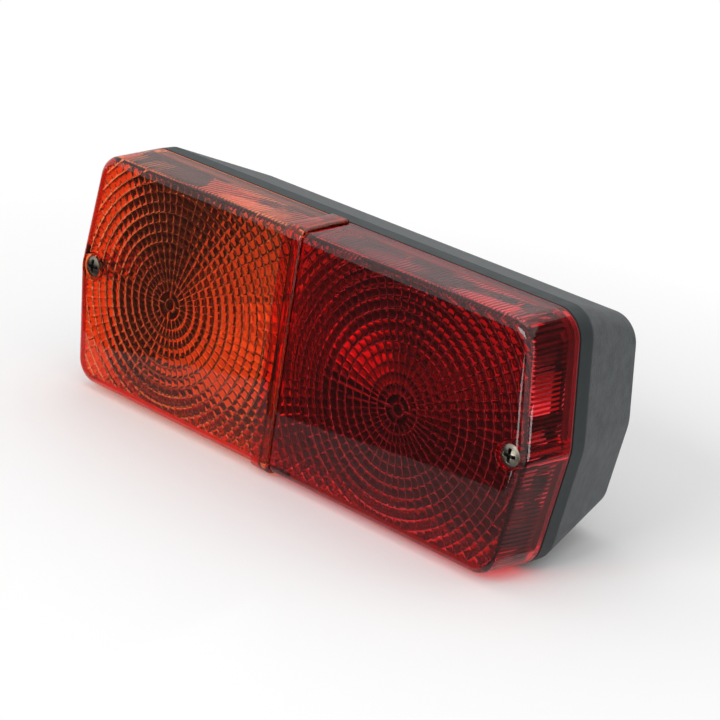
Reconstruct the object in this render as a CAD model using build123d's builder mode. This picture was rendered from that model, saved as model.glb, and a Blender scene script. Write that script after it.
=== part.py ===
from build123d import *
import math
import os

# outline of the lamp, seen from the front
length = 184.0  # over the two end points
height = 77.0
depth = 63.6  # back face to lens front
end_point = 5.0  # mid-height of an end stands this far past its corners
corner_r = 9.0
bend_r = 16.0

# housing
band_depth = 5.5
wall = 2.8
back_wall = 3.0
end_taper = 10.0  # each end draws in by this from the band to the back
side_taper = 8.5  # top and bottom draw in by this
back_rise = -2.1  # middle of the back face against that of the lens
back_edge = 2.5
rim_height = 3.0
rim_wall = 1.8

# lens
lens_depth = 20.0  # gasket to lens front
lens_draft = 1.2  # each wall leans in by this from the gasket to the front
lens_wall = 2.4
lens_face = 2.4
lens_edge_r = 3.0
seat_gap = 0.3

# optics inside the lens
seam_x = -2.9
optic_x = 47.1  # ring centres either side of the seam
optic_z = -1.5
ring_first = 7.44
ring_pitch = 3.04
ring_floor = 0.2
ring_step = 0.9
fine_reach = 16.5  # rings stand twice as far apart outside this radius

# joint of the two lens halves
collar_width = 7.4
collar_rise = 0.9
collar_edge = 0.8
lap_depth = 0.8
lap_gap = 0.05

# lens screws
screw_inset = 6.7  # screw axis from the end point
screw_r = 1.95
screw_length = 28.0
screw_gap = 0.25
head_r = 3.5
head_top_r = 2.7
head_height = 2.4
head_sink = 0.6
slot_long = 4.2
slot_wide = 0.9
slot_deep = 1.3
recess_r = 4.2
boss_r = 4.6

# gasket
gasket_thick = 0.8
gasket_inset = 0.4

# bulb bracket and studs
sheet = 1.0
foot_width = 18.0
stud_spacing = 90.0
stud_r = 3.0
stud_reach = 18.0
stud_flats = 10.0
stud_head = 4.0
stud_gap = 0.1
side_gap = 16.0  # between the bracket's two sides
side_width = 42.0
side_reach = 45.0
side_corner = 8.0

# cable inlet
cable_x = 24.0
cable_z = -17.0
cable_r = 3.25
grommet_r = 6.0
flange_r = 8.0
flange_thick = 2.0

# bulbs and sockets, measured along the bulb from the seam
bulb_y = -34.0
cap_start = 7.4
cap_r = 7.6
cap_length = 18.5
pin_place = 8.0
pin_r = 1.0
pin_reach = 1.1
contact_r = 2.2
contact_height = 1.6
contact_sides = 8
contact_spacing = 6.0
bulb_length = 52.0
neck_r = 6.6
belly_r = 12.4
belly_start = 12.0
belly_length = 12.0
tip_r = 6.0
socket_gap = 0.15
socket_wall = 0.8
socket_length = 13.0
slot_gap = 0.2

# contacts between the bulbs
strip = 0.6
blade_width = 6.3
narrow_blade = 4.0
blade_reach = 10.0
plate_thick = 2.5
plate_width = 26.0
plate_reach = 10.0
spring_leaf = 0.9  # leaf measured along the plate
spring_width = 10.0
spring_pitch = 8.0

front_y = -depth
base_y = front_y + lens_depth
ledge_y = base_y + gasket_thick
crease_y = ledge_y + band_depth
face_y = front_y + lens_face
floor_y = -back_wall
foot_y = floor_y - sheet
rim_inset = lens_wall + seat_gap
cavity_inset = rim_inset + rim_wall
head_y = front_y + head_sink
seat_y = head_y + head_height
screw_x = length / 2 - screw_inset
tip_y = seat_y + screw_length
stud_x = stud_spacing / 2
cap_end = cap_start + cap_length
socket_r = cap_r + socket_gap
strip_start = cap_start - contact_height - strip
plate_start = strip_start - plate_thick
lens_angle = math.degrees(math.atan2(lens_draft, lens_depth))


def level(y):
    return Plane(origin=(0, y, 0), x_dir=(1, 0, 0), z_dir=(0, -1, 0))


def bulb_plane(side, along):
    return Plane(origin=(seam_x + side * along, bulb_y, optic_z), x_dir=(0, 0, 1), z_dir=(side, 0, 0))


def outline(y, long, high, inset=0.0, rise=0.0):
    point = end_point * high / height
    with BuildSketch(level(y)) as shape:
        with BuildLine():
            Polyline(
                (point - long / 2, rise - high / 2),
                (long / 2 - point, rise - high / 2),
                (long / 2, rise),
                (long / 2 - point, rise + high / 2),
                (point - long / 2, rise + high / 2),
                (-long / 2, rise),
                close=True,
            )
        make_face()
        fillet(shape.vertices().group_by(Axis.Y)[1], bend_r)
        fillet(shape.vertices().group_by(Axis.Y)[0] + shape.vertices().group_by(Axis.Y)[-1], corner_r)
        if inset:
            offset(amount=-inset)
    return shape.sketch


def lens_form(high, inset):
    with BuildPart() as form:
        extrude(outline(base_y, length, height, inset), amount=high)
        draft(form.faces().group_by(Axis.Y)[1], level(base_y), lens_angle)
    return form.part


def body_outline(y, inset=0.0):
    share = 1 - y / crease_y
    return outline(y, length - 2 * end_taper * share, height - 2 * side_taper * share, inset, back_rise * share)


def ring_disc(side):
    centre_x = seam_x + side * optic_x
    reach = math.hypot(optic_x, height / 2 - optic_z)
    radius = ring_first
    ridges = []
    while radius < reach + 2 * ring_pitch:
        ridges.append((radius, face_y + ring_floor + ring_step * (len(ridges) % 2)))
        radius += ring_pitch if radius < fine_reach else 2 * ring_pitch
    with BuildPart() as disc:
        with BuildSketch(Plane(origin=(centre_x, 0, optic_z))):
            with BuildLine():
                Polyline((0, front_y), (0, face_y + ring_step), *ridges, (ridges[-1][0], front_y), close=True)
            make_face()
        revolve(axis=Axis((centre_x, 0, optic_z), (0, 1, 0)))
        split(bisect_by=Plane(origin=(seam_x, 0, 0), z_dir=(side, 0, 0)), keep=Keep.TOP)
    return disc.part


def joint_section(x, grow):
    low = height / 2 + grow
    top = low - lens_draft
    with BuildSketch(Plane(origin=(x, 0, 0), x_dir=(0, 1, 0), z_dir=(1, 0, 0))) as shape:
        with BuildLine():
            Polyline((base_y, -low), (base_y, low), (front_y - grow, top), (front_y - grow, -top), close=True)
        make_face()
        fillet(shape.vertices().group_by(Axis.X)[0], lens_edge_r + grow)
    return shape.sketch


with BuildPart() as cavity:
    extrude(outline(crease_y, length, height, cavity_inset), amount=crease_y - base_y + rim_height)
    loft([outline(crease_y, length, height, cavity_inset), body_outline(floor_y, wall)], ruled=True)
    with BuildSketch(level(0)):
        with Locations((-screw_x, 0), (screw_x, 0)):
            Circle(boss_r)
    extrude(amount=-base_y, mode=Mode.SUBTRACT)

with BuildPart() as housing:
    extrude(outline(crease_y, length, height), amount=band_depth)
    loft([outline(crease_y, length, height), body_outline(0)], ruled=True)
    chamfer(housing.faces().sort_by(Axis.Y)[-1].edges(), back_edge)
    extrude(outline(ledge_y, length, height, rim_inset), amount=gasket_thick + rim_height)
    add(cavity.part, mode=Mode.SUBTRACT)
    with BuildSketch(level(base_y)):
        with Locations((-screw_x, 0), (screw_x, 0)):
            Circle(boss_r + seat_gap)
    extrude(amount=rim_height, mode=Mode.SUBTRACT)
    with BuildSketch(level(tip_y)):
        with Locations((-screw_x, 0), (screw_x, 0)):
            Circle(screw_r)
    extrude(amount=tip_y - base_y, mode=Mode.SUBTRACT)
    with BuildSketch(level(0)):
        with Locations((-stud_x, 0), (stud_x, 0)):
            Rectangle(2 * (stud_r + stud_gap), 2 * (stud_r + stud_gap))
        with Locations((cable_x, cable_z)):
            Circle(grommet_r)
    extrude(amount=back_wall, mode=Mode.SUBTRACT)

with BuildPart() as lens_gasket:
    with BuildSketch(level(ledge_y)):
        add(outline(ledge_y, length, height, gasket_inset))
        add(outline(ledge_y, length, height, rim_inset), mode=Mode.SUBTRACT)
    extrude(amount=gasket_thick)

with BuildPart() as lens_block:
    add(lens_form(lens_depth, 0))
    fillet(lens_block.faces().sort_by(Axis.Y)[0].edges(), lens_edge_r)
    with BuildSketch(level(seat_y)):
        with Locations((-screw_x, 0), (screw_x, 0)):
            Circle(recess_r)
    extrude(amount=head_height + head_sink, mode=Mode.SUBTRACT)

with BuildPart() as lens_hollow:
    add(lens_form(lens_depth - lens_face, lens_wall))
    add(ring_disc(-1), mode=Mode.SUBTRACT)
    add(ring_disc(1), mode=Mode.SUBTRACT)
    with BuildSketch(level(base_y)):
        with Locations((-screw_x, 0), (screw_x, 0)):
            Circle(boss_r)
    extrude(amount=lens_depth, mode=Mode.SUBTRACT)
    with BuildSketch(level(base_y)):
        with Locations((-screw_x, 0), (screw_x, 0)):
            Circle(screw_r + screw_gap)
    extrude(amount=lens_depth)

with BuildPart() as collar:
    extrude(joint_section(seam_x - collar_width / 2, collar_rise), amount=collar_width)
    rails = collar.faces().sort_by(Axis.X)[0].edges() + collar.faces().sort_by(Axis.X)[-1].edges()
    chamfer(rails.filter_by(lambda edge: edge.center().Y < base_y - collar_edge / 2), collar_edge)

with BuildPart() as amber_lens:
    add(lens_block.part)
    split(bisect_by=Plane(origin=(seam_x, 0, 0), z_dir=(-1, 0, 0)), keep=Keep.TOP)
    add(collar.part)
    extrude(joint_section(seam_x, lap_gap - lap_depth), amount=collar_width / 2, mode=Mode.SUBTRACT)
    add(lens_hollow.part, mode=Mode.SUBTRACT)

with BuildPart() as red_lens:
    add(lens_block.part)
    split(bisect_by=Plane(origin=(seam_x + collar_width / 2, 0, 0), z_dir=(1, 0, 0)), keep=Keep.TOP)
    extrude(joint_section(seam_x, -lap_depth), amount=collar_width / 2)
    add(lens_hollow.part, mode=Mode.SUBTRACT)

with BuildPart() as lens_screws:
    for side in (-1, 1):
        with BuildSketch(Plane(origin=(side * screw_x, 0, 0))):
            with BuildLine():
                Polyline(
                    (0, head_y),
                    (0, tip_y),
                    (screw_r, tip_y),
                    (screw_r, seat_y),
                    (head_r, seat_y),
                    (head_top_r, head_y),
                    close=True,
                )
            make_face()
        revolve(axis=Axis((side * screw_x, 0, 0), (0, 1, 0)))
    with BuildSketch(level(head_y + slot_deep)):
        with Locations((-screw_x, 0), (screw_x, 0)):
            Rectangle(slot_long, slot_wide)
            Rectangle(slot_wide, slot_long)
    extrude(amount=head_height, mode=Mode.SUBTRACT)

with BuildPart() as bulb_bracket:
    with BuildSketch(level(floor_y)):
        Rectangle(stud_spacing + foot_width, foot_width)
        with Locations((seam_x, 0)):
            Rectangle(side_gap + 2 * sheet, side_width)
        with Locations((-stud_x, 0), (stud_x, 0)):
            Rectangle(2 * stud_r, 2 * stud_r, mode=Mode.SUBTRACT)
    extrude(amount=sheet)
    for side in (-1, 1):
        face = Plane(origin=(seam_x + side * side_gap / 2, foot_y, 0), x_dir=(0, 1, 0), z_dir=(1, 0, 0))
        with BuildSketch(face) as plate:
            Rectangle(side_reach, side_width, align=(Align.MAX, Align.CENTER))
            chamfer(plate.vertices().group_by(Axis.X)[0], side_corner)
            with Locations((bulb_y - foot_y, optic_z)):
                Circle(socket_r, mode=Mode.SUBTRACT)
        extrude(amount=side * sheet)

with BuildPart() as mounting_studs:
    with BuildSketch(level(foot_y)):
        with Locations((-stud_x, 0), (stud_x, 0)):
            RegularPolygon(stud_flats / 2, 6, major_radius=False)
    extrude(amount=stud_head)
    with BuildSketch(level(foot_y)):
        with Locations((-stud_x, 0), (stud_x, 0)):
            Rectangle(2 * stud_r, 2 * stud_r)
    extrude(amount=foot_y)
    with BuildSketch(level(0)):
        with Locations((-stud_x, 0), (stud_x, 0)):
            Circle(stud_r)
    extrude(amount=-stud_reach)

with BuildPart() as cable_grommet:
    with BuildSketch(Plane(origin=(cable_x, 0, cable_z))):
        with BuildLine():
            Polyline(
                (cable_r, flange_thick),
                (flange_r, flange_thick),
                (flange_r, 0),
                (grommet_r, 0),
                (grommet_r, floor_y - flange_thick),
                (cable_r, floor_y - flange_thick),
                close=True,
            )
        make_face()
    revolve(axis=Axis((cable_x, 0, cable_z), (0, 1, 0)))


def contact_plate(side):
    with BuildPart() as plate:
        with BuildSketch(level(foot_y)):
            with Locations((seam_x + side * (plate_start + plate_thick / 2), optic_z)):
                Rectangle(plate_thick, plate_width)
        extrude(amount=foot_y - bulb_y + plate_reach)
    return plate


def contact_strip(side, place, wide):
    with BuildPart() as contact:
        with BuildSketch(bulb_plane(side, strip_start)):
            with Locations((contact_r, place)):
                Rectangle(contact_r + plate_width / 2 + blade_reach, wide, align=(Align.MAX, Align.CENTER))
        extrude(amount=strip)
    return contact


def socket(side):
    with BuildPart() as barrel:
        with BuildSketch(bulb_plane(side, side_gap / 2 + sheet)):
            Circle(socket_r + socket_wall)
            Circle(socket_r, mode=Mode.SUBTRACT)
        extrude(amount=socket_length)
        with BuildSketch(bulb_plane(side, cap_start + pin_place - pin_r - slot_gap)):
            Rectangle(4 * socket_r, 2 * (pin_r + slot_gap))
        extrude(amount=socket_length, mode=Mode.SUBTRACT)
    return barrel


def bulb_cap(side, places):
    with BuildPart() as cap:
        with BuildSketch(bulb_plane(side, cap_start)):
            Circle(cap_r)
        extrude(amount=cap_length)
        with BuildSketch(Plane(origin=(seam_x + side * (cap_start + pin_place), bulb_y, optic_z))):
            RegularPolygon(pin_r, 6)
        extrude(amount=cap_r + pin_reach, both=True)
        with BuildSketch(bulb_plane(side, cap_start)):
            with Locations(*places):
                RegularPolygon(contact_r, contact_sides)
        extrude(amount=-contact_height)
    return cap


def bulb_glass(side):
    start = Plane(origin=(seam_x + side * cap_end, bulb_y, optic_z), x_dir=(0, 0, 1), z_dir=(0, side, 0))
    with BuildPart() as glass:
        with BuildSketch(start):
            with BuildLine():
                Polyline(
                    (0, 0),
                    (neck_r, 0),
                    (belly_r, belly_start),
                    (belly_r, belly_start + belly_length),
                    (tip_r, bulb_length - cap_length),
                    (0, bulb_length - cap_length),
                    close=True,
                )
            make_face()
        revolve(axis=Axis((seam_x, bulb_y, optic_z), (1, 0, 0)))
    return glass


bend_x = plate_start * (2 * spring_pitch / (spring_pitch + spring_leaf / 2) - 1)

with BuildPart() as contact_spring:
    with BuildSketch(Plane(origin=(seam_x, bulb_y, optic_z))):
        with BuildLine():
            Polyline(
                (-plate_start, -spring_pitch - spring_leaf),
                (plate_start, -spring_leaf / 2),
                (plate_start, spring_leaf / 2),
                (-plate_start, spring_pitch + spring_leaf),
                (-plate_start, spring_pitch),
                (bend_x, 0),
                (-plate_start, -spring_pitch),
                close=True,
            )
        make_face()
    extrude(amount=spring_width / 2, both=True)

with BuildPart() as earth_blade:
    with BuildSketch(level(foot_y)):
        with Locations((seam_x, (plate_width + side_width) / 4)):
            Rectangle(blade_width, strip)
    extrude(amount=blade_reach)

pieces = {
    "housing": housing,
    "lens_gasket": lens_gasket,
    "amber_lens": amber_lens,
    "red_lens": red_lens,
    "lens_screws": lens_screws,
    "bulb_bracket": bulb_bracket,
    "mounting_studs": mounting_studs,
    "cable_grommet": cable_grommet,
    "indicator_contact_plate": contact_plate(-1),
    "stop_tail_contact_plate": contact_plate(1),
    "contact_spring": contact_spring,
    "indicator_contact": contact_strip(-1, 0, blade_width),
    "stop_contact": contact_strip(1, contact_spacing / 2, narrow_blade),
    "tail_contact": contact_strip(1, -contact_spacing / 2, narrow_blade),
    "earth_blade": earth_blade,
    "indicator_socket": socket(-1),
    "stop_tail_socket": socket(1),
    "indicator_bulb_cap": bulb_cap(-1, [(0, 0)]),
    "stop_tail_bulb_cap": bulb_cap(1, [(0, -contact_spacing / 2), (0, contact_spacing / 2)]),
    "indicator_bulb_glass": bulb_glass(-1),
    "stop_tail_bulb_glass": bulb_glass(1),
}

os.makedirs("parts", exist_ok=True)
for name, piece in pieces.items():
    piece.part.label = name
    export_step(piece.part, f"parts/{name}.step")
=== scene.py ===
import math

import bmesh
import bpy
import numpy as np
from mathutils import Matrix, Vector


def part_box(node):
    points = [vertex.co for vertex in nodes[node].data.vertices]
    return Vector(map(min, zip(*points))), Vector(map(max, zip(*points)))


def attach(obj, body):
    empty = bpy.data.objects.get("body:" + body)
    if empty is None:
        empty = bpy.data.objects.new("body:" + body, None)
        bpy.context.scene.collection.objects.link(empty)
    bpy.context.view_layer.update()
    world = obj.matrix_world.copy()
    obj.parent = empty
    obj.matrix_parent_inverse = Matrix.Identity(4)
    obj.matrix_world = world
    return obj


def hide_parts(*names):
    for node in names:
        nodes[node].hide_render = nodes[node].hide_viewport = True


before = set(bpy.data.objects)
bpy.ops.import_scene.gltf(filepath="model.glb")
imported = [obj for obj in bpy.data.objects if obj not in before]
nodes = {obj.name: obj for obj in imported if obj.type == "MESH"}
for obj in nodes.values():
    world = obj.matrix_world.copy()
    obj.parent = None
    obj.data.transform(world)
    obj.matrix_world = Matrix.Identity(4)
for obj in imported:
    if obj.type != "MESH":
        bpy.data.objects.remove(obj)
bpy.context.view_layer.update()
mm = 0.001
scene = bpy.context.scene
print("frame loaded:", len(nodes), "nodes")


# faces of a grid of points: each cell joins its four corners; columns close to a ring, rows only where asked
def gridFaces(rows, cols, wrapRows=False):
    r = np.arange(rows if wrapRows else rows - 1)[:, None]
    c = np.arange(cols)[None, :]
    nextR, nextC = (r + 1) % rows, (c + 1) % cols
    corners = (r * cols + c, r * cols + nextC, nextR * cols + nextC, nextR * cols + c)
    return np.stack(np.broadcast_arrays(*corners), -1).reshape(-1, 4)


# metres under which points become one, and under which an edge has no length
weld = dict(merge=2e-6, flat=1e-6)


# one mesh from several parts in millimetres, each its points and one or more arrays of faces: doubles
# merged, faces turned outwards, sharp past the angle
def putMesh(name, parts, sharpAngle=30.0, attribute=None):
    faces, points, start = [], [], 0
    for partPoints, *partFaces in parts:
        flat = np.asarray(partPoints, float).reshape(-1, 3)
        for block in partFaces:
            faces += (block + start).tolist()
        points.append(flat)
        start += len(flat)
    mesh = bpy.data.meshes.new(name)
    mesh.from_pydata(np.concatenate(points) * mm, [], faces)
    if attribute:
        layer = mesh.attributes.new(attribute[0], "FLOAT", "POINT")
        layer.data.foreach_set("value", np.asarray(attribute[1], np.float32).ravel())
    work = bmesh.new()
    work.from_mesh(mesh)
    bmesh.ops.remove_doubles(work, verts=work.verts, dist=weld["merge"])
    bmesh.ops.dissolve_degenerate(work, edges=work.edges, dist=weld["flat"])
    bmesh.ops.recalc_face_normals(work, faces=work.faces)
    work.to_mesh(mesh)
    work.free()
    finishMesh(mesh, sharpAngle)
    obj = bpy.data.objects.new(name, mesh)
    scene.collection.objects.link(obj)
    return obj


# smooth shading, with edges left sharp where the faces meet at more than the angle in degrees
def finishMesh(mesh, sharpAngle):
    mesh.polygons.foreach_set("use_smooth", np.ones(len(mesh.polygons), bool))
    mesh.set_sharp_from_angle(angle=math.radians(sharpAngle))
    mesh.update()


# a new piece takes its place: it rides on the body, stands for its nodes and takes its material
def settle(obj, material, slotName, *stands):
    obj.data.materials.clear()
    obj.data.materials.append(material)
    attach(obj, "root")
    if stands:
        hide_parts(*stands)
    print("piece", obj.name, len(obj.data.polygons), "faces")
    return obj


# a new material with its node tree and Principled BSDF, and the given sockets set
def newMaterial(name, **sockets):
    material = bpy.data.materials.new(name)
    material.use_nodes = True
    tree = material.node_tree
    shader = tree.nodes["Principled BSDF"]
    for key, value in sockets.items():
        shader.inputs[key.replace("_", " ")].default_value = value
    return material, tree, shader


# a new node: each setting goes to the node's property of that name, or else to its input
def addNode(tree, kind, **settings):
    node = tree.nodes.new(kind)
    for key, value in settings.items():
        if hasattr(node, key):
            setattr(node, key, value)
        else:
            node.inputs[key.replace("_", " ")].default_value = value
    return node


# an empty group of float sockets: inputs with their defaults, and outputs
def newGroup(name, inputs, outputs):
    group = bpy.data.node_groups.new(name, "ShaderNodeTree")
    for label, default in inputs:
        socket = group.interface.new_socket(label, in_out="INPUT", socket_type="NodeSocketFloat")
        socket.default_value = default
    for label in outputs:
        group.interface.new_socket(label, in_out="OUTPUT", socket_type="NodeSocketFloat")
    return group, group.nodes.new("NodeGroupInput"), group.nodes.new("NodeGroupOutput")


# two values multiplied
def product(tree, first, second):
    node = addNode(tree, "ShaderNodeMath", operation="MULTIPLY")
    tree.links.new(first, node.inputs[0])
    tree.links.new(second, node.inputs[1])
    return node.outputs[0]


# grain of a spark-eroded mould: Height is the sum of two sizes of noise, Tone a slow drift of colour
def makeMouldGrain():
    group, into, out = newGroup("mouldGrain", [("Scale", 1500.0), ("Drift", 40.0)], ["Height", "Tone"])
    where = addNode(group, "ShaderNodeTexCoord")
    fine = addNode(group, "ShaderNodeTexNoise", Detail=3.0, Roughness=0.55)
    pebble = addNode(group, "ShaderNodeTexVoronoi", feature="SMOOTH_F1", Smoothness=0.6)
    slow = addNode(group, "ShaderNodeTexNoise", Detail=4.0, Roughness=0.6)
    total = addNode(group, "ShaderNodeMath", operation="ADD")
    for texture in (fine, pebble, slow):
        group.links.new(where.outputs["Object"], texture.inputs["Vector"])
    group.links.new(into.outputs["Scale"], fine.inputs["Scale"])
    group.links.new(into.outputs["Scale"], pebble.inputs["Scale"])
    group.links.new(into.outputs["Drift"], slow.inputs["Scale"])
    group.links.new(fine.outputs["Fac"], total.inputs[0])
    group.links.new(pebble.outputs["Distance"], total.inputs[1])
    group.links.new(total.outputs[0], out.inputs["Height"])
    group.links.new(slow.outputs["Fac"], out.inputs["Tone"])
    return group


# marks of handling: a slow cloud times fine stretched streaks; Mask is 0 where clean and 1 where rubbed
def makeHandlingMarks():
    group, into, out = newGroup("handlingMarks", [("Cloud", 60.0), ("Streak", 900.0)], ["Mask"])
    where = addNode(group, "ShaderNodeTexCoord")
    stretch = addNode(group, "ShaderNodeMapping", Scale=(0.12, 1.0, 1.0))
    cloud = addNode(group, "ShaderNodeTexNoise", Detail=3.0)
    streak = addNode(group, "ShaderNodeTexNoise", Detail=2.0)
    group.links.new(where.outputs["Object"], cloud.inputs["Vector"])
    group.links.new(where.outputs["Object"], stretch.inputs["Vector"])
    group.links.new(stretch.outputs["Vector"], streak.inputs["Vector"])
    group.links.new(into.outputs["Cloud"], cloud.inputs["Scale"])
    group.links.new(into.outputs["Streak"], streak.inputs["Scale"])
    group.links.new(product(group, cloud.outputs["Fac"], streak.outputs["Fac"]), out.inputs["Mask"])
    return group


mouldGrain = makeMouldGrain()
handlingMarks = makeHandlingMarks()


# a group placed in a tree, with its inputs set
def useGroup(tree, group, **values):
    node = addNode(tree, "ShaderNodeGroup")
    node.node_tree = group
    for key, value in values.items():
        node.inputs[key].default_value = value
    return node


# a value spread over a new range
def spread(tree, value, low, high, fromLow=0.0, fromHigh=1.0):
    node = addNode(tree, "ShaderNodeMapRange")
    node.inputs["From Min"].default_value = fromLow
    node.inputs["From Max"].default_value = fromHigh
    node.inputs["To Min"].default_value = low
    node.inputs["To Max"].default_value = high
    tree.links.new(value, node.inputs["Value"])
    return node.outputs["Result"]


# two colours mixed by a mask
def mixColour(tree, mask, first, second):
    node = addNode(tree, "ShaderNodeMix", data_type="RGBA")
    node.inputs[6].default_value = (*first, 1)
    node.inputs[7].default_value = (*second, 1)
    tree.links.new(mask, node.inputs[0])
    return node.outputs[2]


# bump from a height; the strength sets how far the normal leans
def bumpFrom(tree, height, shader, strength, distance):
    node = addNode(tree, "ShaderNodeBump")
    node.inputs["Strength"].default_value = strength
    node.inputs["Distance"].default_value = distance
    tree.links.new(height, node.inputs["Height"])
    tree.links.new(node.outputs["Normal"], shader.inputs["Normal"])


# the largest of several values
def largest(tree, values):
    most = values[0]
    for value in values[1:]:
        node = addNode(tree, "ShaderNodeMath", operation="MAXIMUM")
        tree.links.new(most, node.inputs[0])
        tree.links.new(value, node.inputs[1])
        most = node.outputs[0]
    return most


# one where a value is under a limit, else nought
def below(tree, value, limit):
    node = addNode(tree, "ShaderNodeMath", operation="LESS_THAN")
    node.inputs[1].default_value = limit
    tree.links.new(value, node.inputs[0])
    return node.outputs[0]


# offset of a point from a middle, and one where the largest of its three shares of a half size is under one
def boxMask(tree, point, middle, half):
    offset = addNode(tree, "ShaderNodeVectorMath", operation="SUBTRACT")
    share = addNode(tree, "ShaderNodeVectorMath", operation="DIVIDE")
    size = addNode(tree, "ShaderNodeVectorMath", operation="ABSOLUTE")
    sides = addNode(tree, "ShaderNodeSeparateXYZ")
    offset.inputs[1].default_value = middle
    share.inputs[1].default_value = half
    tree.links.new(point, offset.inputs[0])
    tree.links.new(offset.outputs[0], share.inputs[0])
    tree.links.new(share.outputs[0], size.inputs[0])
    tree.links.new(size.outputs[0], sides.inputs[0])
    most = largest(tree, [sides.outputs[axis] for axis in ("X", "Y", "Z")])
    return offset.outputs[0], below(tree, most, 1.0)


# a colour laid over another by a mask
def layOver(tree, mask, under, colour):
    node = addNode(tree, "ShaderNodeMix", data_type="RGBA")
    node.inputs[7].default_value = (*colour, 1)
    tree.links.new(mask, node.inputs[0])
    tree.links.new(under, node.inputs[6])
    return node.outputs[2]


# two shaders mixed by a mask into the material's surface
def mixSurface(tree, mask, first, second):
    mix = addNode(tree, "ShaderNodeMixShader")
    tree.links.new(mask, mix.inputs[0])
    tree.links.new(first.outputs[0], mix.inputs[1])
    tree.links.new(second.outputs[0], mix.inputs[2])
    tree.links.new(mix.outputs[0], tree.nodes["Material Output"].inputs["Surface"])


# a clear shader takes over for shadow rays, so that lamp light comes in as coloured shade
def openToShadow(tree, shader, shade):
    path = addNode(tree, "ShaderNodeLightPath")
    clear = addNode(tree, "ShaderNodeBsdfTransparent")
    clear.inputs["Color"].default_value = (*shade, 1)
    mixSurface(tree, path.outputs["Is Shadow Ray"], shader, clear)


# place on a piece and direction of its surface, and that place split in three
def placeOn(tree):
    where = addNode(tree, "ShaderNodeTexCoord")
    axes = addNode(tree, "ShaderNodeSeparateXYZ")
    tree.links.new(where.outputs["Object"], axes.inputs[0])
    return where.outputs, axes.outputs


# crease is where the band ends in y; the boxes of pale coat and painted light are in metres, each with its
# middle, half size and colour
housingLook = dict(
    band=(0.036, 0.043, 0.045), dark=(0.056, 0.064, 0.068), light=(0.098, 0.108, 0.113),
    paintedInsideShade=(0.010, 0.011, 0.012), grainScale=1500.0, drift=240.0, toned=(0.34, 0.66), rough=(0.46, 0.64),
    bump=0.6, bumpDistance=0.0002, bandBump=0.12, crease=(-0.0380, -0.0366),
    coatAndLightBoxes=(
        ((-0.0560, -0.0213, -0.0090), (0.0215, 0.0190, 0.0285), (0.92, 0.92, 0.90)),
        ((0.0340, -0.0213, 0.0065), (0.0220, 0.0190, 0.0165), (0.90, 0.90, 0.88)),
    ),
)


# moulded black plastic: pebble grain behind the crease and a smooth band in front of it; inside, where the
# surface faces the middle of the first box, it is darker as painted shade, and within each box pale as a
# guessed reflector coat that also paints light
def makeHousingPlastic(look):
    material, tree, shader = newMaterial("housingPlastic", Specular_IOR_Level=0.3)
    grain = useGroup(tree, mouldGrain, Scale=look["grainScale"], Drift=look["drift"])
    tone = spread(tree, grain.outputs["Tone"], 0.0, 1.0, *look["toned"])
    tree.links.new(spread(tree, grain.outputs["Tone"], *look["rough"]), shader.inputs["Roughness"])
    where, axes = placeOn(tree)
    behind = spread(tree, axes["Y"], 0.0, 1.0, *look["crease"])
    before = spread(tree, behind, 1.0, 0.0)
    plastic = layOver(tree, before, mixColour(tree, tone, look["dark"], look["light"]), look["band"])
    boxes = [boxMask(tree, where["Object"], middle, half) for middle, half, _ in look["coatAndLightBoxes"]]
    facing = addNode(tree, "ShaderNodeVectorMath", operation="DOT_PRODUCT")
    tree.links.new(where["Normal"], facing.inputs[0])
    tree.links.new(boxes[0][0], facing.inputs[1])
    inside = below(tree, facing.outputs["Value"], 0.0)
    # inner faces of the housing are laid darker: painted shade inside
    plastic = layOver(tree, inside, plastic, look["paintedInsideShade"])
    # within each box a pale coat is laid: a guessed reflector whose box is set where light shows, so partly
    # painted light
    for (_, within), (_, _, coatAndLight) in zip(boxes, look["coatAndLightBoxes"]):
        plastic = layOver(tree, product(tree, inside, within), plastic, coatAndLight)
    tree.links.new(plastic, shader.inputs["Base Color"])
    depth = product(tree, grain.outputs["Height"], spread(tree, behind, look["bandBump"], 1.0))
    bumpFrom(tree, depth, shader, look["bump"], look["bumpDistance"])
    return material


rubberLook = dict(
    dark=(0.012, 0.012, 0.013), light=(0.028, 0.028, 0.029), grainScale=2200.0, drift=90.0, rough=(0.6, 0.8),
    bump=0.25, bumpDistance=0.0001,
)


# matt black rubber with a dusty bloom
def makeRubber(look):
    material, tree, shader = newMaterial("rubber", Specular_IOR_Level=0.35)
    grain = useGroup(tree, mouldGrain, Scale=look["grainScale"], Drift=look["drift"])
    tone = grain.outputs["Tone"]
    tree.links.new(mixColour(tree, tone, look["dark"], look["light"]), shader.inputs["Base Color"])
    tree.links.new(spread(tree, tone, *look["rough"]), shader.inputs["Roughness"])
    bumpFrom(tree, grain.outputs["Height"], shader, look["bump"], look["bumpDistance"])
    return material


acrylic = dict(cloud=55.0, streak=800.0, rough=(0.015, 0.06), rubbed=(0.15, 0.45))
acrylicTints = dict(
    amberAcrylic=dict(colour=(0.97, 0.220, 0.078), deeper=(0.94, 0.190, 0.064), shade=(0.98, 0.57, 0.36)),
    redAcrylic=dict(colour=(0.90, 0.044, 0.056), deeper=(0.84, 0.038, 0.048), shade=(0.93, 0.30, 0.31)),
)


# clear coloured acrylic: it tints what passes, lets lamp light in as coloured shade and is faintly rubbed
def makeAcrylic(name, colour, deeper, shade):
    material, tree, shader = newMaterial(name, Transmission_Weight=0.995, IOR=1.49, Metallic=0.0)
    marks = useGroup(tree, handlingMarks, Cloud=acrylic["cloud"], Streak=acrylic["streak"])
    mask = marks.outputs["Mask"]
    tree.links.new(mixColour(tree, mask, colour, deeper), shader.inputs["Base Color"])
    tree.links.new(spread(tree, mask, *acrylic["rough"], *acrylic["rubbed"]), shader.inputs["Roughness"])
    openToShadow(tree, shader, shade)
    return material


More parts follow.
